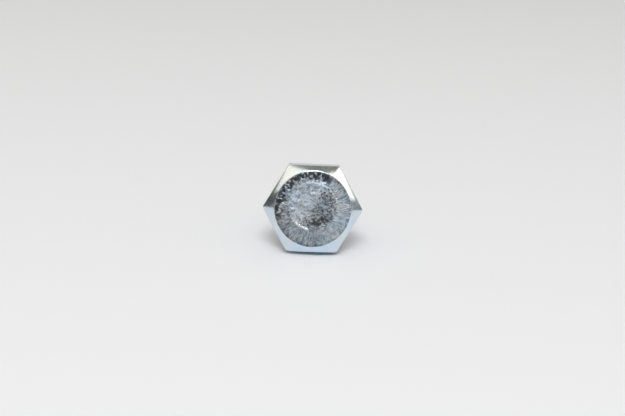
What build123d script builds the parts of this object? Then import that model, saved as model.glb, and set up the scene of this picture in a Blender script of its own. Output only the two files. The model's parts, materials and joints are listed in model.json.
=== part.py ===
from build123d import *
from math import atan2, cos, degrees, radians, tan
import os

# Hex head cap screw, quarter inch, twenty threads to the inch, half an inch long under the head.
# It is one piece of zinc-plated steel: a cold-headed hexagon head with a washer face below it,
# a short plain neck, and a shank that is threaded almost to the head.
# The screw is modelled upright, with its bearing plane at zero and its shank pointing up,
# and is then laid down as it comes to rest on a table: on one flat of its head and on its tip.

# Driving dimensions of the head, in millimetres and degrees
across_flats = 10.90
head_height = 3.97
corner_radius = 0.25
face_diameter = 9.62
face_edge_radius = 0.16
crown_angle = 30.0
washer_face_diameter = 10.30
washer_face_height = 0.38

# Driving dimensions of the shank
thread_diameter = 6.35
length_under_head = 12.70
neck_diameter = 5.52
neck_length = 1.00
neck_fillet_radius = 0.50
run_out_angle = 30.0
point_diameter = 4.70
point_angle = 45.0

# Lengths that the sizes above fix
run_out_length = (thread_diameter - neck_diameter) / 2 / tan(radians(run_out_angle))
point_length = (thread_diameter - point_diameter) / 2 / tan(radians(point_angle))
corner_reach = across_flats / 2 / cos(radians(30))

# Pose on the table: the lower flat's back edge and the last full crest touch it
contact_drop = (across_flats - thread_diameter) / 2
contact_span = length_under_head - point_length + washer_face_height
lying_tilt = degrees(atan2(contact_drop, contact_span))


def head_prism():
    """Six-sided bar with slightly rounded corners, from the top face to the washer face."""
    hexagon = RegularPolygon(corner_reach, 6)
    hexagon = fillet(hexagon.vertices(), corner_radius)
    bar = extrude(hexagon, head_height - washer_face_height)
    return Pos(0, 0, -head_height) * bar


def head_crown():
    """Turned envelope of the head: a flat round face, a soft rim, and a cone that cuts the corners."""
    beyond_corners = corner_reach + corner_radius
    cone_drop = (beyond_corners - face_diameter / 2) * tan(radians(crown_angle))
    outline = Polyline(
        (0, -washer_face_height),
        (0, -head_height),
        (face_diameter / 2, -head_height),
        (beyond_corners, -head_height + cone_drop),
        (beyond_corners, -washer_face_height),
        close=True,
    )
    section = make_face(Plane.XZ * outline)
    rim = section.vertices().sort_by_distance((face_diameter / 2, 0, -head_height))[0]
    section = fillet(rim, face_edge_radius)
    return revolve(section, Axis.Z)


def washer_face():
    """Thin round bearing face under the hexagon."""
    disc = Cylinder(washer_face_diameter / 2, washer_face_height, align=(Align.CENTER, Align.CENTER, Align.MAX))
    return disc


def shank():
    """Neck with a fillet under the head, run-out, thread envelope at full diameter and chamfered point."""
    neck_radius = neck_diameter / 2
    fillet_reach = neck_radius + neck_fillet_radius
    edges = Polyline(
        (neck_radius, neck_fillet_radius),
        (neck_radius, neck_length),
        (thread_diameter / 2, neck_length + run_out_length),
        (thread_diameter / 2, length_under_head - point_length),
        (point_diameter / 2, length_under_head),
        (0, length_under_head),
        (0, -washer_face_height),
        (fillet_reach, -washer_face_height),
        (fillet_reach, 0),
    )
    under_head_fillet = CenterArc((fillet_reach, neck_fillet_radius), neck_fillet_radius, 180, 90)
    section = make_face(Plane.XZ * (edges + under_head_fillet))
    return revolve(section, Axis.Z)


def laid_down(screw):
    """Tip the upright screw over until it lies on its head's lower flat edge and its tip."""
    fallen = Rot(-90 - lying_tilt, 0, 0) * screw
    box = fallen.bounding_box()
    return Pos(-box.center().X, -box.center().Y, -box.min.Z) * fallen


upright_screw = (head_prism() & head_crown()) + washer_face() + shank()
cap_screw = laid_down(upright_screw)

os.makedirs("parts", exist_ok=True)
export_step(cap_screw, "parts/cap_screw.step")

size = cap_screw.bounding_box().size
print(f"tilt {lying_tilt:.3f} degrees, volume {cap_screw.volume:.1f} cubic millimetres")
print(f"lying size {size.X:.3f} x {size.Y:.3f} x {size.Z:.3f} millimetres")
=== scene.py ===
# %% [markdown]
# # A hex cap screw, lying on a table
#
# A short steel screw with a six-sided head, seen from the front of the head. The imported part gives
# its exact size and how it lies. Here it gets what the plain solid leaves out: the rolled thread, the
# rough forged skin of the round face, softened edges, and the bright bluish zinc plating.

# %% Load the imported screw
import json
import math

import bmesh
import bpy
from mathutils import Matrix, Vector, noise


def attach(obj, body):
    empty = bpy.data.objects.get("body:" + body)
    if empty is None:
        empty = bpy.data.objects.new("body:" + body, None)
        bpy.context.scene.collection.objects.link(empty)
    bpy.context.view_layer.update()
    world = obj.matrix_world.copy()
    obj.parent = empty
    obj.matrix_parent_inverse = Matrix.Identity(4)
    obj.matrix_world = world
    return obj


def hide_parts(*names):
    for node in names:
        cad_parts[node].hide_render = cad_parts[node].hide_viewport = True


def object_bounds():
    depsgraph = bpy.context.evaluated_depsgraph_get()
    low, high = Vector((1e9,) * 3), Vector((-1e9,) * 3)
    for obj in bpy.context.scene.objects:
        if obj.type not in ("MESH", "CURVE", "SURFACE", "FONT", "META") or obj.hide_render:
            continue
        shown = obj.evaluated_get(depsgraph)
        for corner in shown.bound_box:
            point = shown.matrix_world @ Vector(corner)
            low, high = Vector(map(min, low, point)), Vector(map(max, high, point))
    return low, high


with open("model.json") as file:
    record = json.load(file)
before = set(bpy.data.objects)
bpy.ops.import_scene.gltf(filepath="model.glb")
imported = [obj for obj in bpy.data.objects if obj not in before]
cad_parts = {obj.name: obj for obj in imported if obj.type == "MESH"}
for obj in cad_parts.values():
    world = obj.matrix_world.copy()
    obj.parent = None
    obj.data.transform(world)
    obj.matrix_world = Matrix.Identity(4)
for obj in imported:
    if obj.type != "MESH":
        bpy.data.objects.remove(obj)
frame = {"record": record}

cad_low, cad_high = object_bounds()
MM = 0.001
print("packed size in mm:", [round(side / MM, 2) for side in cad_high - cad_low])

# %% [markdown]
# The record's mounts say where the screw's axis runs, where the round face is and where the underside
# of the head is. Everything below is modelled upright, in millimetres, with the bearing plane at height
# zero and the shank pointing up, because that is how a turned and rolled thing is easiest to draw.
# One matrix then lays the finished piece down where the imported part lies.

# %% Read the screw's axis and build the laying-down matrix
mounts = {mount["name"]: mount for mount in frame["record"]["mounts"]}
shank_way = Vector(mounts["thread"]["axis"]).normalized()
face_centre = Vector(mounts["hex_drive"]["pos_m"])
bearing_point = Vector(mounts["bearing_face"]["pos_m"])
HEAD_HEIGHT = (bearing_point - face_centre).dot(shank_way) / MM
THREAD_RADIUS = mounts["thread"]["dims"]["r_mm"]
bearing_centre = face_centre + shank_way * HEAD_HEIGHT * MM
across = Vector((1, 0, 0))
down_flat = shank_way.cross(across)
turn = Matrix((across, down_flat, shank_way)).transposed().to_4x4()
LAY_DOWN = Matrix.Translation(bearing_centre) @ turn @ Matrix.Scale(MM, 4)
print("head height", round(HEAD_HEIGHT, 3), "thread radius", round(THREAD_RADIUS, 3))

# %% [markdown]
# A few helpers keep the steps short. One makes a single object the only selected one, since an operator
# works on all that is selected. One picks faces, edges or vertices in edit mode by where they are.
# One runs a modifier to its end, so that the mesh itself holds the result. A boolean gives its vertices
# out in a different order each run, and merging by distance depends on that order. So the one that
# merges first sorts them by their distance from a point off to one side, and each run ends the same.


# %% Helpers for selecting and for applying modifiers
def only(piece):
    """Make one object the active and only selected one."""
    bpy.ops.object.select_all(action="DESELECT")
    piece.select_set(True)
    bpy.context.view_layer.objects.active = piece


def pick(piece, kind, wanted):
    """In edit mode, select just the verts, edges or faces that pass the test."""
    modes = {"verts": "VERT", "edges": "EDGE", "faces": "FACE"}
    bpy.ops.mesh.select_mode(type=modes[kind])
    bpy.ops.mesh.select_all(action="DESELECT")
    mesh = bmesh.from_edit_mesh(piece.data)
    chosen = [element for element in getattr(mesh, kind) if wanted(element)]
    for element in chosen:
        element.select_set(True)
    mesh.select_flush_mode()
    bmesh.update_edit_mesh(piece.data)
    return len(chosen)


def finish_modifier(piece, kind, **settings):
    """Add a modifier, set it and apply it."""
    only(piece)
    modifier = piece.modifiers.new(kind.title(), kind)
    for name, value in settings.items():
        setattr(modifier, name, value)
    bpy.ops.object.modifier_apply(modifier=modifier.name)


def combine(piece, tool, operation):
    """Join the tool to the piece, or keep what they share, and remove the tool."""
    finish_modifier(piece, "BOOLEAN", object=tool, operation=operation, solver="EXACT")
    bpy.data.objects.remove(tool)


SORT_FROM = (31, 17, 7)


def merge_near(distance):
    """In edit mode, merge selected vertices that lie close, going through them in a fixed order."""
    cursor = bpy.context.scene.cursor
    cursor.location = SORT_FROM
    bpy.ops.mesh.sort_elements(type="CURSOR_DISTANCE", elements={"VERT"})
    cursor.location = (0, 0, 0)
    bpy.ops.mesh.remove_doubles(threshold=distance)


def report(piece):
    """Print how many faces a mesh has and whether it is closed."""
    mesh = bmesh.new()
    mesh.from_mesh(piece.data)
    open_edges = sum(not edge.is_manifold for edge in mesh.edges)
    volume = round(mesh.calc_volume(), 3)
    print(piece.name, "faces", len(mesh.faces), "open edges", open_edges, "volume", volume)
    mesh.free()


# %% [markdown]
# Much of a screw is turned: its section is the same all the way round. Such a form is drawn as half
# an outline and spun. The outline is one vertex, extruded from point to point as (radius, height), and
# the spin operator sweeps it round the axis. A lathe modifier would do as well, but spin leaves
# a plain mesh at once.


# %% Draw an outline and spin it
WELD = 0.0002


def draw_outline(name, points):
    """Extrude one vertex along a list of (radius, height) points, in the XZ plane."""
    bpy.ops.object.select_all(action="DESELECT")
    bpy.ops.mesh.primitive_plane_add(size=1)
    piece = bpy.context.object
    piece.name = name
    bpy.ops.object.mode_set(mode="EDIT")
    bpy.ops.mesh.select_mode(type="VERT")
    bpy.ops.mesh.select_all(action="SELECT")
    bpy.ops.mesh.merge(type="CENTER")
    places = [Vector((radius, 0, height)) for radius, height in points]
    bpy.ops.transform.translate(value=places[0])
    for before, after in zip(places, places[1:]):
        bpy.ops.mesh.extrude_vertices_move(TRANSFORM_OT_translate={"value": after - before})
    bpy.ops.object.mode_set(mode="OBJECT")
    return piece


def spin_outline(piece, steps):
    """Turn an outline once round the upright axis into a closed skin."""
    only(piece)
    bpy.ops.object.mode_set(mode="EDIT")
    bpy.ops.mesh.select_all(action="SELECT")
    bpy.ops.mesh.spin(steps=steps, angle=2 * math.pi, center=(0, 0, 0), axis=(0, 0, 1))
    bpy.ops.mesh.select_all(action="SELECT")
    bpy.ops.mesh.remove_doubles(threshold=WELD)
    bpy.ops.mesh.normals_make_consistent(inside=False)
    bpy.ops.object.mode_set(mode="OBJECT")
    report(piece)


def arc(centre, radius, start, end, count):
    """Points on a round stretch of an outline, from one angle to another in degrees."""
    angles = [math.radians(start + (end - start) * step / count) for step in range(count + 1)]
    return [(centre[0] + radius * math.cos(a), centre[1] + radius * math.sin(a)) for a in angles]


# %% [markdown]
# The head starts as a six-sided bar, a cylinder primitive with six sides, whose upright edges are
# bevelled round as the forging die leaves them. It is longer than the head at the face end, because
# the next step cuts it there.

# %% The six-sided bar
ACROSS_FLATS = 10.90
HALF_SIDE = math.radians(30)
CORNER_RADIUS = 0.25
CORNER_SEGMENTS = 4
WASHER_FACE_HEIGHT = 0.38
BAR_SPARE = 1.0
corner_reach = ACROSS_FLATS / 2 / math.cos(HALF_SIDE)
bar_length = HEAD_HEIGHT - WASHER_FACE_HEIGHT + BAR_SPARE
bpy.ops.object.select_all(action="DESELECT")
bpy.ops.mesh.primitive_cylinder_add(
    vertices=6,
    radius=corner_reach,
    depth=bar_length,
    location=(0, 0, -WASHER_FACE_HEIGHT - bar_length / 2),
    rotation=(0, 0, HALF_SIDE),
)
screw = bpy.context.object
screw.name = "screw"
bpy.ops.object.transform_apply(location=True, rotation=True, scale=True)
bpy.ops.object.mode_set(mode="EDIT")
corners = pick(screw, "edges", lambda edge: abs(edge.verts[0].co.z - edge.verts[1].co.z) > BAR_SPARE)
bpy.ops.mesh.bevel(offset=CORNER_RADIUS * math.tan(HALF_SIDE), segments=CORNER_SEGMENTS, affect="EDGES")
bpy.ops.object.mode_set(mode="OBJECT")
print("rounded corners", corners)
report(screw)

# %% [markdown]
# The crown is the turned shape that cuts the bar: the round face, a soft rim, and a cone at 30 degrees
# that takes the corners off. The line of the face is subdivided before the spin, so that the face has
# enough rings to carry the relief of the forging punch later.

# %% The crown
FACE_RADIUS = 4.81
RIM_RADIUS = 0.16
CROWN_ANGLE = 30
RIM_STEPS = 5
CROWN_STEPS = 432
FACE_SPACING = 0.055

face_level = -HEAD_HEIGHT
flat_end = FACE_RADIUS - RIM_RADIUS * math.tan(math.radians(CROWN_ANGLE / 2))
beyond = corner_reach + CORNER_RADIUS
cone_drop = (beyond - FACE_RADIUS) * math.tan(math.radians(CROWN_ANGLE))
rim_arc = arc((flat_end, face_level + RIM_RADIUS), RIM_RADIUS, -90, -90 + CROWN_ANGLE, RIM_STEPS)
cone_line = [(beyond, face_level + cone_drop), (beyond, BAR_SPARE), (0, BAR_SPARE)]
crown = draw_outline("crown", [(0, face_level)] + rim_arc + cone_line)


def on_face_line(edge):
    """True for the straight stretch of the outline that becomes the round face."""
    return all(v.co.x < flat_end + WELD and v.co.z < face_level + WELD for v in edge.verts)


only(crown)
bpy.ops.object.mode_set(mode="EDIT")
pick(crown, "edges", on_face_line)
bpy.ops.mesh.subdivide(number_cuts=round(flat_end / FACE_SPACING))
bpy.ops.object.mode_set(mode="OBJECT")
spin_outline(crown, CROWN_STEPS)
combine(screw, crown, "INTERSECT")
report(screw)

# %% [markdown]
# The edges where the cone meets the flats, and those under the head, are sharp after the cut. A real
# head has a breath of roundness there, and it is what catches the light. A bevel modifier with an angle
# limit finds these edges by itself. The rim and the upright corners bend less per step than the limit,
# so they are left as they are. Before that, slivers along the cuts are merged away, and so are most of
# the vertices near the middle of the face, where the spin leaves them too crowded to shade well.

# %% Soften the edges of the head
EDGE_SOFTNESS = 0.035
BEVEL_ABOVE = math.radians(25)
CUT_MERGE = 0.015
CENTRE_MERGE = 0.045
CENTRE_REACH = 1.5
only(screw)
bpy.ops.object.mode_set(mode="EDIT")
bpy.ops.mesh.select_all(action="SELECT")
merge_near(CUT_MERGE)
pick(screw, "verts", lambda vert: vert.co.z < face_level + WELD and vert.co.xy.length < CENTRE_REACH)
merge_near(CENTRE_MERGE)
bpy.ops.object.mode_set(mode="OBJECT")
finish_modifier(
    screw,
    "BEVEL",
    limit_method="ANGLE",
    angle_limit=BEVEL_ABOVE,
    width=EDGE_SOFTNESS,
    segments=2,
    use_clamp_overlap=False,
)
report(screw)

# %% [markdown]
# Washer face, neck and core are one turned form that runs up inside the thread. A fillet joins the neck
# to the bearing face. Past the neck the core narrows slowly to the thread's root and on below it, so that
# the groove grows shallower towards the head, as it does where the rolling dies end.

# %% The washer face, the neck and the core
WASHER_FACE_RADIUS = 5.15
NECK_RADIUS = 2.76
NECK_LENGTH = 1.00
NECK_FILLET = 0.50
FILLET_STEPS = 6
ROOT_RADIUS = 2.45
GROOVE_FADE = 1.90
CORE_RADIUS = 2.35
THREAD_END = 12.70
TURNED_STEPS = 128

fade_slope = (NECK_RADIUS - ROOT_RADIUS) / GROOVE_FADE
fade_end = NECK_LENGTH + (NECK_RADIUS - CORE_RADIUS) / fade_slope
neck_fillet = arc((NECK_RADIUS + NECK_FILLET, NECK_FILLET), NECK_FILLET, -90, -180, FILLET_STEPS)
core = draw_outline(
    "core",
    [
        (0, -BAR_SPARE),
        (WASHER_FACE_RADIUS, -BAR_SPARE),
        (WASHER_FACE_RADIUS, -EDGE_SOFTNESS),
        (WASHER_FACE_RADIUS - EDGE_SOFTNESS, 0),
    ]
    + neck_fillet
    + [
        (NECK_RADIUS, NECK_LENGTH),
        (CORE_RADIUS, fade_end),
        (CORE_RADIUS, THREAD_END - BAR_SPARE),
        (0, THREAD_END - BAR_SPARE),
    ],
)
spin_outline(core, TURNED_STEPS)

# %% [markdown]
# A thread is one V-shaped outline, a pitch long, swept up a helix. The Screw modifier does just that:
# it turns the outline round the axis, lifts it by a pitch each turn, and joins each turn to the next.
# Twenty turns to the inch makes the pitch 1.27 mm, with flanks at 30 degrees, a narrow flat crest and
# a rounded root. A right-hand thread climbs as it turns to the left seen from its tip, which the angle's
# sign decides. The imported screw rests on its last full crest, a quarter turn on from the outline, where
# the chamfer of the point begins, and that fixes the height at which the helix starts. Two spare turns
# run on past the point. Both ends of the helix are then closed by an extrusion that is merged to a tip.

# %% The helix
INCH = 25.4
TURNS_PER_INCH = 20
PITCH = INCH / TURNS_PER_INCH
FLANK_ANGLE = 30
FLANK_FOOT = 2.50
ROOT_SAG = 0.02
CREST_CLEARANCE = 0.005
CREST_RADIUS = THREAD_RADIUS - CREST_CLEARANCE
CREST_HALF = PITCH / 16
CREST_ROUND = 0.045
POINT_LENGTH = 0.825
THREAD_TURNS = 12
SPARE_TURNS = 2
QUARTER_TURN = 0.25
HELIX_STEPS = 96

last_crest = THREAD_END - POINT_LENGTH - CREST_HALF
thread_start = last_crest - (THREAD_TURNS - SPARE_TURNS - QUARTER_TURN) * PITCH
flank_rise = math.tan(math.radians(FLANK_ANGLE))
foot_half = CREST_HALF + (CREST_RADIUS - FLANK_FOOT) * flank_rise
half_outline = [
    (ROOT_RADIUS, PITCH / 2),
    (ROOT_RADIUS + ROOT_SAG, (PITCH / 2 + foot_half) / 2),
    (FLANK_FOOT, foot_half),
    (CREST_RADIUS - CREST_ROUND, CREST_HALF + CREST_ROUND * flank_rise),
    (CREST_RADIUS, CREST_HALF - CREST_ROUND / 2),
]
rising = [(radius, thread_start + PITCH / 2 - height) for radius, height in half_outline]
falling = [(radius, thread_start + PITCH / 2 + height) for radius, height in reversed(half_outline)]
thread = draw_outline("thread", rising + falling)
finish_modifier(
    thread,
    "SCREW",
    axis="Z",
    angle=2 * math.pi,
    screw_offset=PITCH,
    iterations=THREAD_TURNS,
    steps=HELIX_STEPS,
    render_steps=HELIX_STEPS,
)
only(thread)
bpy.ops.object.mode_set(mode="EDIT")
bpy.ops.mesh.select_all(action="SELECT")
bpy.ops.mesh.remove_doubles(threshold=WELD)
middle = thread_start + PITCH * THREAD_TURNS / 2
for way in (-1, 1):
    rim = pick(
        thread,
        "edges",
        lambda edge: edge.is_boundary and all((vert.co.z - middle) * way > 0 for vert in edge.verts),
    )
    bpy.ops.mesh.extrude_edges_move(TRANSFORM_OT_translate={"value": (0, 0, way * PITCH)})
    bpy.ops.mesh.merge(type="CENTER")
    print("closed an end of", rim, "edges")
bpy.ops.mesh.select_all(action="SELECT")
bpy.ops.mesh.normals_make_consistent(inside=False)
bpy.ops.object.mode_set(mode="OBJECT")
report(thread)

# %% [markdown]
# The helix runs past both ends of the real thread. A turned envelope cuts it: a cone at the neck, the
# full diameter along the middle, a chamfer at the point, and a slightly hollow end where the blank was
# cropped. Then the core, the thread and the head are joined into one closed skin, because the real
# screw is one piece.

# %% Cut the thread to length and join everything
POINT_RADIUS = 2.35
RUN_OUT_RISE = 0.72
END_HOLLOW = 0.08
HOLLOW_REACH = 0.8
envelope = draw_outline(
    "envelope",
    [
        (0, NECK_LENGTH),
        (NECK_RADIUS - 2 * EDGE_SOFTNESS, NECK_LENGTH),
        (THREAD_RADIUS, NECK_LENGTH + RUN_OUT_RISE),
        (THREAD_RADIUS, THREAD_END - POINT_LENGTH),
        (POINT_RADIUS + EDGE_SOFTNESS, THREAD_END - EDGE_SOFTNESS),
        (POINT_RADIUS - EDGE_SOFTNESS, THREAD_END),
        (POINT_RADIUS * HOLLOW_REACH, THREAD_END - END_HOLLOW / 2),
        (0, THREAD_END - END_HOLLOW),
    ],
)
spin_outline(envelope, TURNED_STEPS)
combine(thread, envelope, "INTERSECT")
report(thread)
combine(screw, core, "UNION")
combine(screw, thread, "UNION")
only(screw)
bpy.ops.object.mode_set(mode="EDIT")
bpy.ops.mesh.select_all(action="SELECT")
merge_near(WELD)
bpy.ops.mesh.dissolve_degenerate(threshold=WELD / 2)
bpy.ops.object.mode_set(mode="OBJECT")
report(screw)

# %% [markdown]
# The round face keeps the skin that the forging punch gave it, and all of it is true relief. First come
# broad, shallow heaves. A vertex group holds the face alone, weaker towards the rim, and a Displace
# modifier moves its vertices along the axis by a procedural cloud texture.

# %% Broad heaves on the face
HEAVE_SIZE = 1.3
HEAVE_DEPTH = 0.055
RELIEF_END = 4.76
RELIEF_FADE = 0.16

face_group = screw.vertex_groups.new(name="face")
face_places = {}
for vertex in screw.data.vertices:
    radius = vertex.co.xy.length
    if vertex.co.z < face_level + WELD and radius < RELIEF_END:
        weight = min(1.0, (RELIEF_END - radius) / RELIEF_FADE)
        face_places[vertex.index] = weight
        face_group.add([vertex.index], weight, "REPLACE")
heave = bpy.data.textures.new("heave", "CLOUDS")
heave.noise_scale = HEAVE_SIZE
heave.noise_depth = 1
finish_modifier(
    screw,
    "DISPLACE",
    texture=heave,
    texture_coords="LOCAL",
    direction="Z",
    strength=HEAVE_DEPTH,
    mid_level=0.5,
    vertex_group="face",
)
print("vertices on the face", len(face_places))

# %% [markdown]
# The finer relief has a direction, which a texture modifier can't give it, so these vertices are moved in
# code. A round, slightly off-centre stamp sinks the middle, with a thin burr along two stretches of its
# edge. Outside it the metal flowed outwards, and inside it the steel is pitted. Each formula below takes
# a place on the face and gives a height in millimetres, or a share from nought to one. How dull each spot
# is, together with painted shade in its pits, grooves and hollow and on its darker sides and rim, goes
# into an attribute of the mesh, so that the finish can darken it by the same pattern. The noise module
# shifts its vector noise by a seed taken from the clock, so the seed is set first.
#
# A pair of numbers ending in SPREAD, BAND or RANGE says where something starts and where it is full. A
# vector ending in SIDE points to where on the face it happens: y runs down the face as it lies.

# %% A smooth step, and the ridges outside the stamp
NOISE_SEED = 5
RIDGE_RATE = 36.0
RIDGE_RUN = 1.2
RIDGE_WANDER = 0.05
WANDER_RATE = 1.3
RIDGE_FALL = 0.9
OCTAVE_STEP = 2.0
RIDGE_OCTAVES = 2

noise.seed_set(NOISE_SEED)


def ease(low, high, value):
    """Rise smoothly from nought at low to one at high."""
    part = min(1.0, max(0.0, (value - low) / (high - low)))
    return part * part * (3 - 2 * part)


def ridges(place):
    """Fine ridges that run outwards from the axis, from about -1 to 1."""
    wander = RIDGE_WANDER * noise.noise(place * WANDER_RATE)
    way = Matrix.Rotation(wander, 3, "Z") @ place.normalized() * RIDGE_RATE
    way.z = place.length * RIDGE_RUN
    return noise.fractal(way, RIDGE_FALL, OCTAVE_STEP, RIDGE_OCTAVES)


# %% [markdown]
# Inside the stamp lie shallow dents and small pits. The pits are deeper towards the lower right, where
# the punch pressed less well, and a long hollow lies low in the stamp. The pits, the lower right and the
# hollow are darkened with painted shade.

# %% Inside the stamp
STAMP_DEPTH = 0.016
PIT_DEPTH = 0.032
PIT_RATES = Vector((3.1, 2.5, 0))
PIT_WANDER = 0.22
PIT_WANDER_RATE = 3
PIT_BAND = (0.15, 0.50)
PIT_LEAST = 0.12
# Painted shade in the pits, and on the poorly pressed lower right.
PIT_SHADE_RANGE = (0.05, 0.5)
DENT_DEPTH = 0.018
DENT_RATE = 2.4
GOUGE_CENTRE = Vector((0.85, 1.55, 0))
GOUGE_WAY = Vector((0.94, -0.34, 0))
GOUGE_HALF_LENGTH = 1.75
GOUGE_HALF_WIDTH = 0.66
GOUGE_DEPTH = 0.012
GOUGE_BREAK = 1.2
GOUGE_BREAK_RATE = 3.0
POOR_SIDE = Vector((0.85, 0.53, 0))
POOR_SPREAD = (-0.6, 0.7)
POOR_WANDER = 0.8
POOR_WANDER_RATE = 0.9
POOR_SIDE_SHADE = 0.40


def pits(place):
    """Round hollows of uneven size, one in each cell, from 0 outside them to 1 at their bottom."""
    shift = noise.noise_vector(place * PIT_WANDER_RATE) * PIT_WANDER
    near, _centres = noise.voronoi(place * PIT_RATES + shift)
    return 1 - ease(*PIT_BAND, near[0])


def gouge(place):
    """The long hollow low in the stamp, also used for its painted shade, from 0 outside it to 1 in its
    middle.
    """
    from_middle = place - GOUGE_CENTRE
    along = from_middle.dot(GOUGE_WAY) / GOUGE_HALF_LENGTH
    across_it = from_middle.cross(GOUGE_WAY).z / GOUGE_HALF_WIDTH
    broken = GOUGE_BREAK * noise.noise(place * GOUGE_BREAK_RATE)
    return min(1.0, math.exp(-(along**2 + across_it**2) + broken))


def stamped(place):
    """Height and painted shade inside the stamp."""
    wander = POOR_WANDER * noise.noise(place * POOR_WANDER_RATE)
    poor = ease(*POOR_SPREAD, place.dot(POOR_SIDE) + wander)
    hollow = gouge(place)
    pit = pits(place) * (PIT_LEAST + (1 - PIT_LEAST) * poor)
    dent = noise.noise(place * DENT_RATE)
    height = -STAMP_DEPTH - PIT_DEPTH * pit - GOUGE_DEPTH * hollow - DENT_DEPTH * dent
    # The pits, the poorly pressed lower right and the hollow are darkened with painted shade.
    return height, max(ease(*PIT_SHADE_RANGE, pit), POOR_SIDE_SHADE * poor, hollow)


# %% [markdown]
# Outside the stamp the flowing metal left fine ridges that wander a little: noise that changes fast round
# the axis and slowly along the radius draws them. They are calm low on the face. Along the upper left rim
# the skin sheared off in torn, dark patches. The grooves between the ridges, the lower left and the rim
# get painted shade.

# %% Outside the stamp
RIDGE_HEIGHT = 0.015
PATCH_RATE = 1.6
CALM_SIDE = Vector((0.26, 0.97, 0))
CALM_SPREAD = (-0.3, 0.7)
CALM_MOST = 0.55
SHEAR_SIDE = Vector((-0.62, -0.78, 0))
SHEAR_SPREAD = (0.1, 0.5)
SHEAR_BAND = (3.6, 4.05)
SHEAR_WANDER = 0.8
SHEAR_FALL = 0.03
TORN_RATE = 2.8
TORN_BY_RIDGES = 0.5
TORN_RANGE = (0.55, 0.05)
# Painted shade: darker towards the lower left, at the rim and in the grooves between the ridges.
SHADED_SIDE = Vector((-0.75, 0.66, 0))
SHADED_SIDE_SPREAD = (-0.3, 0.9)
SHADED_SIDE_WANDER = 0.5
SIDE_PAINTED_SHADE = 0.30
RIM_BAND = (4.3, 4.75)
RIM_PAINTED_SHADE = 0.25
GROOVE_RANGE = (0.25, -0.45)
GROOVE_PAINTED_SHADE = 0.38


def flowed(place):
    """Height outside the stamp, with its dark torn patches and its painted shade."""
    outwards = place.normalized()
    from_axis = place.length
    patch = noise.noise(place * PATCH_RATE)
    ridge = ridges(place)
    calm = CALM_MOST * ease(*CALM_SPREAD, outwards.dot(CALM_SIDE))
    shear = ease(*SHEAR_SPREAD, outwards.dot(SHEAR_SIDE))
    shear *= ease(*SHEAR_BAND, from_axis + SHEAR_WANDER * patch)
    torn = ease(*TORN_RANGE, TORN_BY_RIDGES * ridge + noise.noise(place * TORN_RATE))
    # Painted shade, darker towards the lower left and at the rim, then in the grooves between the ridges.
    side_and_rim_shade = SIDE_PAINTED_SHADE * ease(*SHADED_SIDE_SPREAD, outwards.dot(SHADED_SIDE) + SHADED_SIDE_WANDER * patch)
    side_and_rim_shade += RIM_PAINTED_SHADE * ease(*RIM_BAND, from_axis)
    groove_shade = GROOVE_PAINTED_SHADE * (1 - calm) * ease(*GROOVE_RANGE, ridge)
    height = RIDGE_HEIGHT * ridge * (1 + shear - calm) - SHEAR_FALL * shear
    return height, max(side_and_rim_shade + groove_shade, shear * torn)


# %% [markdown]
# A short smooth wall leads from the stamp up to the metal round it. The burr stands on that wall along
# two stretches, thick at the lower left and thinner at the upper right, and a painted highlight keeps it
# brighter than the steel beside it. The whole relief blends the two sides by the wall and adds the burr on
# top.

# %% The stamp's edge, and the whole relief
STAMP_CENTRE = Vector((0, -0.42, 0))
STAMP_RADIUS = 3.00
STAMP_WALL = 0.12
BURR_HEIGHT = 0.040
BURR_WIDTH = 0.10
BURR_SPREAD = (0.78, 0.92)
# Share of the painted shade taken off the burr, which paints a highlight along it.
BURR_PAINTED_HIGHLIGHT = 0.8
THICK_BURR_SIDE = Vector((-0.67, 0.74, 0))
THIN_BURR_SIDE = Vector((0.62, -0.78, 0))
THIN_BURR_SHARE = 0.8


def fine_relief(place):
    """The height over the face at a place, and its dullness with painted shade, from 0 to 1."""
    from_stamp = (place - STAMP_CENTRE).length
    inside = 1 - ease(STAMP_RADIUS - STAMP_WALL, STAMP_RADIUS + STAMP_WALL, from_stamp)
    outwards = place.normalized()
    thick = ease(*BURR_SPREAD, outwards.dot(THICK_BURR_SIDE))
    thin = THIN_BURR_SHARE * ease(*BURR_SPREAD, outwards.dot(THIN_BURR_SIDE))
    burr = math.exp(-(((from_stamp - STAMP_RADIUS) / BURR_WIDTH) ** 2)) * (thick + thin)
    sunk, painted_shade_inside = stamped(place)
    risen, dullness_and_shade_outside = flowed(place)
    height = inside * sunk + (1 - inside) * risen + BURR_HEIGHT * burr
    # The burr takes back most of the painted shade, which paints a highlight along it.
    dullness = (inside * painted_shade_inside + (1 - inside) * dullness_and_shade_outside) * (1 - BURR_PAINTED_HIGHLIGHT * burr)
    return height, dullness


# %% [markdown]
# Each vertex of the face now moves along the axis by the height at its place, with the same fade at the
# rim as the heaves had, and its dullness with painted shade is stored under its own number.

# %% Move the vertices of the face
dullness_and_shade_values = [0.0] * len(screw.data.vertices)
over_face = []
for index, weight in face_places.items():
    spot = screw.data.vertices[index].co
    height, dullness_and_shade_values[index] = fine_relief(Vector((spot.x, spot.y, 0)))
    spot.z -= height * weight
    over_face.append(face_level - spot.z)
print("relief of the face from", round(min(over_face), 3), "to", round(max(over_face), 3))
# The attribute holds the dullness together with the painted shade.
dullness_and_shade_attribute = screw.data.attributes.new("dullness", "FLOAT", "POINT")
dullness_and_shade_attribute.data.foreach_set("value", dullness_and_shade_values)
report(screw)

# %% [markdown]
# The finished skin is laid down by the matrix from the start and its place is applied, so that the
# object itself sits at the origin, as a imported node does. All of it is shaded smooth, apart from edges
# that turn by more than 35 degrees. The Weighted Normal modifier then lets large faces set the shading,
# so that flats and flanks look flat and only the narrow bevels between them look round.

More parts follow.
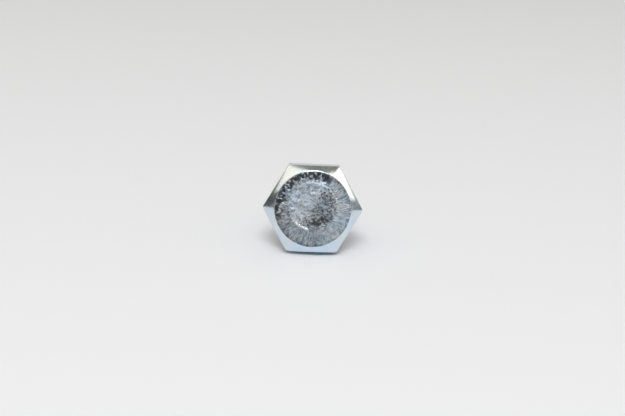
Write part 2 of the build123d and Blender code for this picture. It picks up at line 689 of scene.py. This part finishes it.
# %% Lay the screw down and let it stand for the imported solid
SHARP_ABOVE = math.radians(35)
screw.matrix_world = LAY_DOWN
only(screw)
bpy.ops.object.transform_apply(location=True, rotation=True, scale=True)
bpy.ops.object.shade_smooth_by_angle(angle=SHARP_ABOVE)
finish_modifier(screw, "WEIGHTED_NORMAL", keep_sharp=True)
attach(screw, "root")
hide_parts("cap_screw")
low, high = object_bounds()
print("dressed size in mm:", [round(side / MM, 2) for side in high - low])

# %% [markdown]
# Both finishes need to know where a point lies on the screw: how far from the axis and which way round.
# A node group works this out from the Object coordinates, by undoing the laying down and going back to
# millimetres. It is built once, with named outputs, and placed in each material.


# %% Small helpers for wiring shader nodes
def wire(tree, kind, inputs=None, **settings):
    """Add a node, set its properties, and fill or link its inputs by name or number."""
    node = tree.nodes.new(kind)
    for name, value in settings.items():
        setattr(node, name, value)
    for socket, value in (inputs or {}).items():
        if isinstance(value, bpy.types.NodeSocket):
            tree.links.new(value, node.inputs[socket])
        else:
            node.inputs[socket].default_value = value
    return node


def ramp(tree, value, low, high, start=0.0, end=1.0):
    """Map a value smoothly from one range to another, held at both ends."""
    node = wire(
        tree,
        "ShaderNodeMapRange",
        {"Value": value, "From Min": low, "From Max": high, "To Min": start, "To Max": end},
        interpolation_type="SMOOTHSTEP",
    )
    return node.outputs["Result"]


def blend_colours(tree, amount, first, second, **settings):
    """Mix two colours by an amount, or multiply them if the settings say so."""
    inputs = {0: amount, 6: first, 7: second}
    return wire(tree, "ShaderNodeMix", inputs, data_type="RGBA", **settings).outputs[2]


def calculate(tree, operation, first, second):
    """One Math node."""
    return wire(tree, "ShaderNodeMath", {0: first, 1: second}, operation=operation).outputs[0]


def vector_step(tree, operation, inputs, output=0):
    """One Vector Math node."""
    return wire(tree, "ShaderNodeVectorMath", inputs, operation=operation).outputs[output]


def cloud(tree, place, rate, detail):
    """Soft noise from 0 to 1."""
    inputs = {"Vector": place, "Scale": rate, "Detail": detail}
    return wire(tree, "ShaderNodeTexNoise", inputs).outputs["Fac"]


def bump(tree, height, strength, distance, under=None):
    """A fine height that only bends the shading, over another one if given."""
    inputs = {"Height": height, "Strength": strength, "Distance": distance * MM}
    if under:
        inputs["Normal"] = under
    return wire(tree, "ShaderNodeBump", inputs).outputs["Normal"]


def new_group(name, inputs, outputs):
    """An empty node group with named sockets, each given as a name and a kind."""
    group = bpy.data.node_groups.new(name, "ShaderNodeTree")
    for in_out, sockets in (("INPUT", inputs), ("OUTPUT", outputs)):
        for socket, kind in sockets.items():
            group.interface.new_socket(socket, in_out=in_out, socket_type="NodeSocket" + kind)
    return group


# %% The node group that gives a point's place on the screw
place_group = new_group("place on the screw", {}, {"Place": "Vector", "Radius": "Float", "Round": "Vector"})
back_turn = turn.inverted()
to_millimetres = {
    "Vector": wire(place_group, "ShaderNodeTexCoord").outputs["Object"],
    "Scale": (1 / MM,) * 3,
    "Rotation": back_turn.to_euler(),
    "Location": -(back_turn @ bearing_centre) / MM,
}
upright = wire(place_group, "ShaderNodeMapping", to_millimetres).outputs["Vector"]
flat = vector_step(place_group, "MULTIPLY", {0: upright, 1: (1, 1, 0)})
radius = vector_step(place_group, "LENGTH", {0: flat}, "Value")
around = vector_step(place_group, "NORMALIZE", {0: flat})
wire(place_group, "NodeGroupOutput", {"Place": upright, "Radius": radius, "Round": around})
print(place_group.name, "nodes", len(place_group.nodes))

# %% [markdown]
# Bright zinc is a thin skin of metal crystals under a bluish film. It mirrors the room softly, a little
# more blue in one place and more yellow in another, with fine grain and faint rubbing marks. These
# effects serve both finishes, so they are a group too: it puts out a tint, a cloudiness that each finish
# turns into roughness, and a fine grain for bump.

# %% The node group for the zinc skin
ZINC_BLUE = (0.62, 0.74, 0.86, 1)
ZINC_WARM = (0.68, 0.75, 0.81, 1)
FILM_RATE = 0.45
HAZE_RATE = 2.2
GRAIN_RATE = 16.0
FILM_RANGE = (0.35, 0.65)

skin_outputs = {"Tint": "Color", "Cloudiness": "Float", "Grain": "Float"}
skin_group = new_group("zinc skin", {"Place": "Vector"}, skin_outputs)
skin_place = wire(skin_group, "NodeGroupInput").outputs["Place"]
film = cloud(skin_group, skin_place, FILM_RATE, detail=2.0)
tint = blend_colours(skin_group, ramp(skin_group, film, *FILM_RANGE), ZINC_BLUE, ZINC_WARM)
haze = cloud(skin_group, skin_place, HAZE_RATE, detail=5.0)
grain = cloud(skin_group, skin_place, GRAIN_RATE, detail=3.0)
wire(skin_group, "NodeGroupOutput", {"Tint": tint, "Cloudiness": haze, "Grain": grain})
print(skin_group.name, "nodes", len(skin_group.nodes))

# %% [markdown]
# The cone, the flats, the shank and the thread were pressed or rolled smooth before they were plated. So
# their finish is the zinc skin alone: its cloudiness becomes roughness, and its grain hardly shows. Both
# finishes are wired alike, so three functions make the material, place the groups in it, and link what
# changes over the surface.

# %% The smooth zinc of the cone, flats, shank and thread
HAZE_RANGE = (0.3, 0.7)
SMOOTH_ROUGHNESS = (0.13, 0.24)
SMOOTH_GRAIN = 0.004


def new_material(name, metallic):
    """A material, its node tree and its Principled shader."""
    material = bpy.data.materials.new(name)
    material.use_nodes = True
    shader = material.node_tree.nodes["Principled BSDF"]
    shader.inputs["Metallic"].default_value = metallic
    return material, material.node_tree, shader


def new_zinc(name):
    """A metal with the two node groups placed in it, and their outputs."""
    material, tree, shader = new_material(name, 1.0)
    place = wire(tree, "ShaderNodeGroup", node_tree=place_group).outputs
    skin = wire(tree, "ShaderNodeGroup", {"Place": place["Place"]}, node_tree=skin_group).outputs
    return material, tree, shader, place, skin


def feed(tree, shader, colour, roughness, normal):
    """Link what changes over the surface to the shader."""
    for socket, value in (("Base Color", colour), ("Roughness", roughness), ("Normal", normal)):
        tree.links.new(value, shader.inputs[socket])


smooth_zinc, tree, shader, place, skin = new_zinc("smooth zinc")
roughness = ramp(tree, skin["Cloudiness"], *HAZE_RANGE, *SMOOTH_ROUGHNESS)
fine = bump(tree, skin["Grain"], strength=0.5, distance=SMOOTH_GRAIN)
feed(tree, shader, skin["Tint"], roughness, fine)
screw.data.materials.append(smooth_zinc)
print(smooth_zinc.name, "nodes", len(tree.nodes))

# %% [markdown]
# The forged face is the same zinc over rougher ground. The attribute of dullness and painted shade
# darkens the torn patches, where less plating got in, and paints shade into the pits, the grooves between
# the ridges, the long hollow, the darker sides and the rim. A radial noise, drawn out like the ridges but
# finer than the mesh can hold, adds the last grain as bump and as painted shade in its low lines. Inside
# the stamp round specks take its place.

# %% The forged zinc of the round face
FLECK_RATE = 44.0
FLECK_RUN = 1.8
FLECK_RANGE = (0.52, 0.38)
# Painted shade in the low lines of the flecks, where their bump sinks.
FLECK_PAINTED_SHADE = 0.45
SPECK_RATE = 6.0
FLOW_BAND = (STAMP_RADIUS - 0.3, STAMP_RADIUS + 0.5)
# The face's colour runs from bare zinc to a dark tone for the dull patches and the painted shade.
BARE_SHADE = (1.26, 1.22, 1.16, 1)
DULL_AND_SHADED_TONE = (0.13, 0.12, 0.115, 1)
FORGED_ROUGHNESS = (0.20, 0.32)
FORGED_RELIEF = 0.012
FORGED_GRAIN = 0.006

forged_zinc, tree, shader, place, skin = new_zinc("forged zinc")
spoke = vector_step(tree, "SCALE", {0: place["Round"], "Scale": FLECK_RATE})
run = calculate(tree, "MULTIPLY", place["Radius"], FLECK_RUN)
along = wire(tree, "ShaderNodeCombineXYZ", {"Z": run}).outputs[0]
drawn = cloud(tree, vector_step(tree, "ADD", {0: spoke, 1: along}), rate=1.0, detail=2.0)
specks = cloud(tree, place["Place"], SPECK_RATE, detail=3.0)
flow = ramp(tree, place["Radius"], *FLOW_BAND)
flecks = wire(tree, "ShaderNodeMix", {0: flow, 2: specks, 3: drawn}).outputs[0]
dull_and_shaded_spot = wire(tree, "ShaderNodeAttribute", attribute_name="dullness").outputs["Fac"]
# Painted shade from the attribute and from the low lines of the flecks darkens the colour towards the dark
# tone.
dulled_and_shaded = calculate(tree, "ADD", dull_and_shaded_spot, ramp(tree, flecks, *FLECK_RANGE, 0.0, FLECK_PAINTED_SHADE))
shade = blend_colours(tree, dulled_and_shaded, BARE_SHADE, DULL_AND_SHADED_TONE)
colour = blend_colours(tree, 1.0, skin["Tint"], shade, blend_type="MULTIPLY")
roughness = ramp(tree, skin["Cloudiness"], *HAZE_RANGE, *FORGED_ROUGHNESS)
coarse = bump(tree, flecks, strength=1.0, distance=FORGED_RELIEF)
fine = bump(tree, skin["Grain"], strength=1.0, distance=FORGED_GRAIN, under=coarse)
feed(tree, shader, colour, roughness, fine)
screw.data.materials.append(forged_zinc)
print(forged_zinc.name, "nodes", len(tree.nodes))

# %% [markdown]
# A mesh holds its materials in numbered slots, and each of its faces has the number of one. All faces
# start with the first slot, the smooth zinc. Those of the round face, out to where the soft rim begins,
# are picked by their place on the upright screw and get the second.

# %% Put the forged finish on the faces of the round face
FORGED_DEPTH = 0.25
FORGED_MARGIN = 0.02

only(screw)
to_upright = LAY_DOWN.inverted()
bpy.ops.object.mode_set(mode="EDIT")


def on_round_face(face):
    """True for a mesh face that lies inside the rim, on the side away from the shank."""
    centre = to_upright @ face.calc_center_median()
    return centre.z < face_level + FORGED_DEPTH and centre.xy.length < flat_end + FORGED_MARGIN


forged_count = pick(screw, "faces", on_round_face)
screw.active_material_index = screw.data.materials.find(forged_zinc.name)
bpy.ops.object.material_slot_assign()
bpy.ops.object.mode_set(mode="OBJECT")
print("forged faces", forged_count)

# %% [markdown]
# The floor is one pale plane, far larger than the screw, so that it fills the view and shows in the
# zinc.

# %% Floor
FLOOR_SIDE = 4.0
FLOOR_COLOUR = (0.84, 0.85, 0.875, 1)
FLOOR_ROUGHNESS = 0.6

bpy.ops.object.select_all(action="DESELECT")
bpy.ops.mesh.primitive_plane_add(size=FLOOR_SIDE, location=(0, 0, cad_low.z))
floor = bpy.context.object
floor.name = "floor"
paper, _tree, shader = new_material("pale floor", 0.0)
shader.inputs["Base Color"].default_value = FLOOR_COLOUR
shader.inputs["Roughness"].default_value = FLOOR_ROUGHNESS
floor.data.materials.append(paper)
print("floor side in mm:", round(FLOOR_SIDE / MM), "height", round(floor.location.z / MM, 3))

# %% [markdown]
# The light is a small photo studio. A wide soft panel on each side turns the upper slopes of the head
# white, a panel overhead and behind evens out the light on the floor, and a small lamp above the camera
# draws the bright line along the rim. The panels stand far off, so that they light near and far alike.
# Bright side panels alone would throw dark shadows to both sides. So they are dim, a card behind each
# adds the rest for reflections only, and a fill from the front lights the floor but isn't mirrored.

# %% Lights
WARM = (1.12, 1.0, 0.84)
COOL = (0.96, 1.0, 1.04)
PLAIN = (1.0, 0.985, 1.04)
LEFT = (-48, 44)
RIGHT = (53, 36)
ABOVE_CAMERA = (0, 44)
HIGH_FRONT = (0, 55)
HIGH_BACK = (180, 70)


def soft_panel(name, stand, distance, side, radiance, colour):
    """A square area light aimed at the head. It stands at an azimuth from the front and an elevation."""
    azimuth, elevation = (math.radians(angle) for angle in stand)
    level = math.cos(elevation)
    way = Vector((math.sin(azimuth) * level, -math.cos(azimuth) * level, math.sin(elevation)))
    light = bpy.data.lights.new(name, "AREA")
    light.size = side
    light.energy = radiance * math.pi * side * side
    light.color = colour
    lamp = bpy.data.objects.new(name, light)
    lamp.location = face_centre + way * distance
    lamp.rotation_euler = (-way).to_track_quat("-Z", "Y").to_euler()
    bpy.context.scene.collection.objects.link(lamp)
    return lamp


soft_panel("left panel", LEFT, distance=1.2, side=0.97, radiance=0.70, colour=WARM)
soft_panel("right panel", RIGHT, distance=1.2, side=0.93, radiance=0.35, colour=WARM)
soft_panel("top panel", HIGH_BACK, distance=1.5, side=1.3, radiance=0.42, colour=COOL)
soft_panel("front lamp", ABOVE_CAMERA, distance=1.0, side=0.28, radiance=20.0, colour=COOL)
left_card = soft_panel("left card", LEFT, distance=1.25, side=1.01, radiance=0.36, colour=WARM)
right_card = soft_panel("right card", RIGHT, distance=1.25, side=0.97, radiance=1.03, colour=WARM)
left_card.visible_diffuse = False
right_card.visible_diffuse = False
fill = soft_panel("fill", HIGH_FRONT, distance=1.2, side=0.90, radiance=1.25, colour=PLAIN)
fill.visible_glossy = False

# %% [markdown]
# Metal shows what stands round it, so the room matters too. It is dim and warm at the sides, darker on
# the left than on the right, bluish straight in front, and paler above and behind. The world's colour
# changes with the direction that a ray goes, which Texture Coordinate gives in a world. Rays from the
# camera see a plain pale room.

# %% The room around
ROOM_LEFT = (0.09, 0.085, 0.07, 1)
ROOM_RIGHT = (0.27, 0.26, 0.24, 1)
ROOM_TOP = (0.24, 0.22, 0.18, 1)
ROOM_FRONT = (0.18, 0.20, 0.24, 1)
ROOM_BACK = (0.49, 0.48, 0.45, 1)
ROOM_SEEN = (0.80, 0.80, 0.80, 1)
SIDE_RANGE = (-0.4, 0.7)
FRONT_RANGE = (-0.75, -0.95)
TOP_RANGE = (0.45, 0.85)
BACK_RANGE = (-0.1, 0.4)

room = bpy.data.worlds.new("room")
bpy.context.scene.world = room
room.use_nodes = True
tree = room.node_tree
tree.nodes.clear()
way = wire(tree, "ShaderNodeTexCoord").outputs["Generated"]
sideways, backward, upwards = wire(tree, "ShaderNodeSeparateXYZ", {"Vector": way}).outputs
colour = blend_colours(tree, ramp(tree, sideways, *SIDE_RANGE), ROOM_LEFT, ROOM_RIGHT)
colour = blend_colours(tree, ramp(tree, backward, *FRONT_RANGE), colour, ROOM_FRONT)
colour = blend_colours(tree, ramp(tree, upwards, *TOP_RANGE), colour, ROOM_TOP)
colour = blend_colours(tree, ramp(tree, backward, *BACK_RANGE), colour, ROOM_BACK)
dim = wire(tree, "ShaderNodeBackground", {"Color": colour})
pale = wire(tree, "ShaderNodeBackground", {"Color": ROOM_SEEN})
seen = wire(tree, "ShaderNodeLightPath").outputs["Is Camera Ray"]
mixed = wire(tree, "ShaderNodeMixShader", {0: seen, 1: dim.outputs[0], 2: pale.outputs[0]})
wire(tree, "ShaderNodeOutputWorld", {"Surface": mixed.outputs[0]})
bpy.context.scene.view_settings.view_transform = "Standard"
print(room.name, "nodes", len(tree.nodes))

# %% [markdown]
# The camera stands where the photographer's did: in front of the head, looking down at about 16
# degrees, 180 mm away, with a lens of 83 mm on a 36 mm sensor and a slight lean to one side.

# %% Camera
PHOTO_WIDTH = 625
FOCAL_PIXELS = 1441
SENSOR = 36.0
LOOK_DOWN = math.radians(16.3)
LEAN = math.radians(2.17)
CAMERA_DISTANCE = 180 * MM
AIM_RIGHT = -0.02 * MM
AIM_UP = 0.15 * MM

look = Vector((0, math.cos(LOOK_DOWN), -math.sin(LOOK_DOWN)))
upward = Vector((0, math.sin(LOOK_DOWN), math.cos(LOOK_DOWN)))
camera_data = bpy.data.cameras.new("camera")
camera_data.sensor_width = SENSOR
camera_data.lens = FOCAL_PIXELS * SENSOR / PHOTO_WIDTH
camera_data.clip_start = 10 * MM
camera = bpy.data.objects.new("camera", camera_data)
camera.location = face_centre - look * CAMERA_DISTANCE + across * AIM_RIGHT + upward * AIM_UP
aim = look.to_track_quat("-Z", "Y").to_matrix().to_4x4()
camera.matrix_world = Matrix.Translation(camera.location) @ aim @ Matrix.Rotation(LEAN, 4, "Z")
bpy.context.scene.collection.objects.link(camera)
bpy.context.scene.camera = camera
print("lens in mm:", round(camera_data.lens, 1))
print("camera in mm:", [round(side / MM, 1) for side in camera.location])
